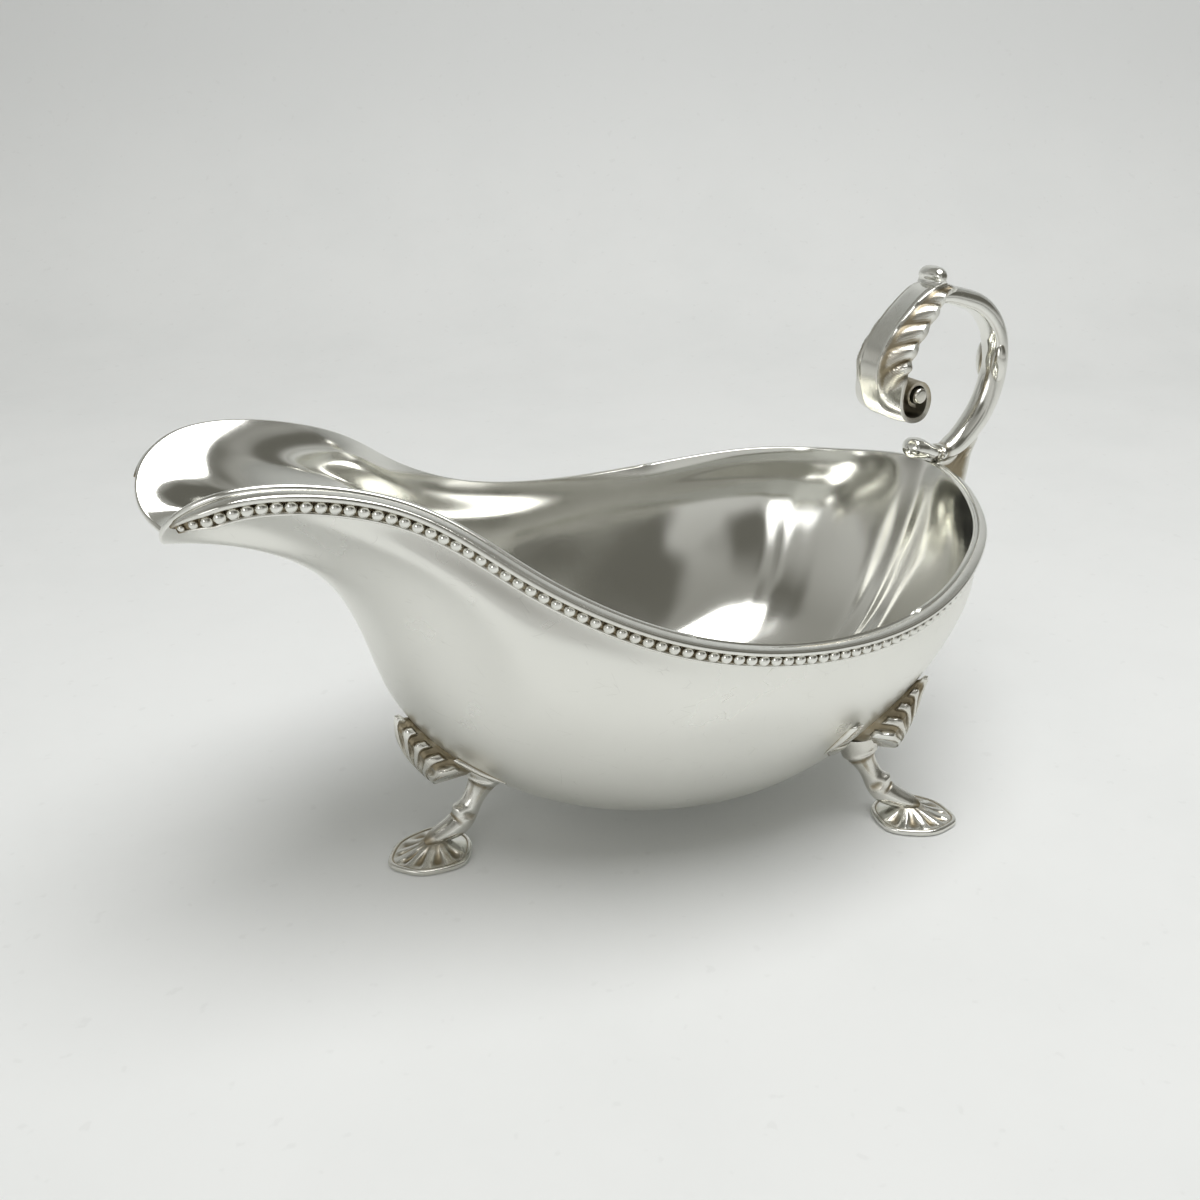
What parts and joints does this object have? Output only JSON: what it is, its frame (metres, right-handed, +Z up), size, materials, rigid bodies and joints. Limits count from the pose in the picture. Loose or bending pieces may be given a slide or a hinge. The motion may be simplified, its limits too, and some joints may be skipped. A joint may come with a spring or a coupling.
{
  "type": "sauce boat",
  "caption": "Footed sauce boat with a long pouring lip, beaded edge, leaf-capped flying scroll handle and shell-kneed feet.",
  "frame": {"origin": "on the table under the feet, midway between the tip of the lip and the back of the handle, on the middle plane", "axes": "+X towards the handle, -X towards the pouring lip, +Z up; -Y is the boat's left side when it faces the way it pours"},
  "size_m": [0.1902, 0.1024, 0.1072],
  "materials": {
    "polished_silver": "polished silver plate with fine wear scratches",
    "cast_silver": "polished cast silver plate, warmer and darker in its recesses"
  },
  "bodies": {
    "root": {"body": "polished_silver", "bead_border_left": "cast_silver", "bead_border_right": "cast_silver", "handle_scroll": "polished_silver", "handle_leaf": "cast_silver", "front_leg": "cast_silver", "rear_leg_left": "cast_silver", "rear_leg_right": "cast_silver"}
  },
  "joints": []
}
